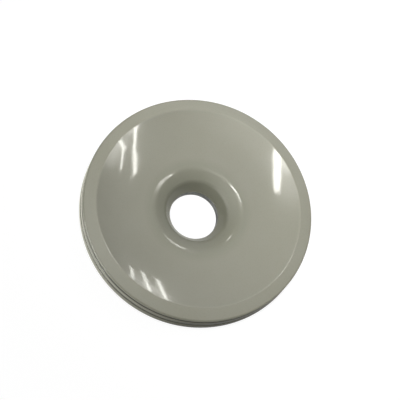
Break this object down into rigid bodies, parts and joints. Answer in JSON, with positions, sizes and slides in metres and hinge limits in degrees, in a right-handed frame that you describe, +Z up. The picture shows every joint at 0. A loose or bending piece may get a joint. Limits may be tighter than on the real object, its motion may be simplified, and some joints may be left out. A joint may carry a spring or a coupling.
{
  "type": "porcelain disc insulator",
  "caption": "Sky-grey glazed porcelain disc insulator with a shallow dish, a sloping rim, a funnel-mouthed bolt hole and a cemented joint round its side.",
  "frame": {"origin": "on the bore axis, in the plane that the foot ring and the thimble flange stand on", "axes": "+Z up the bore towards the dished face; X and Y are any two directions across the disc, because the part is round"},
  "size_m": [0.084, 0.084, 0.0122],
  "materials": {
    "sky_grey_glaze": "glossy fired glaze, sky grey",
    "joint_filler": "matt dark resilient filler",
    "cement": "matt Portland cement",
    "porcelain_grit": "coarse fired grit",
    "zinc": "dull cast zinc"
  },
  "bodies": {
    "root": {"upper_shell": "sky_grey_glaze", "lower_shell": "sky_grey_glaze", "rim_seal": "joint_filler", "shell_cement": "cement", "upper_sand_band": "porcelain_grit", "lower_sand_band": "porcelain_grit", "bore_thimble": "zinc", "thimble_cement": "cement"}
  },
  "joints": []
}
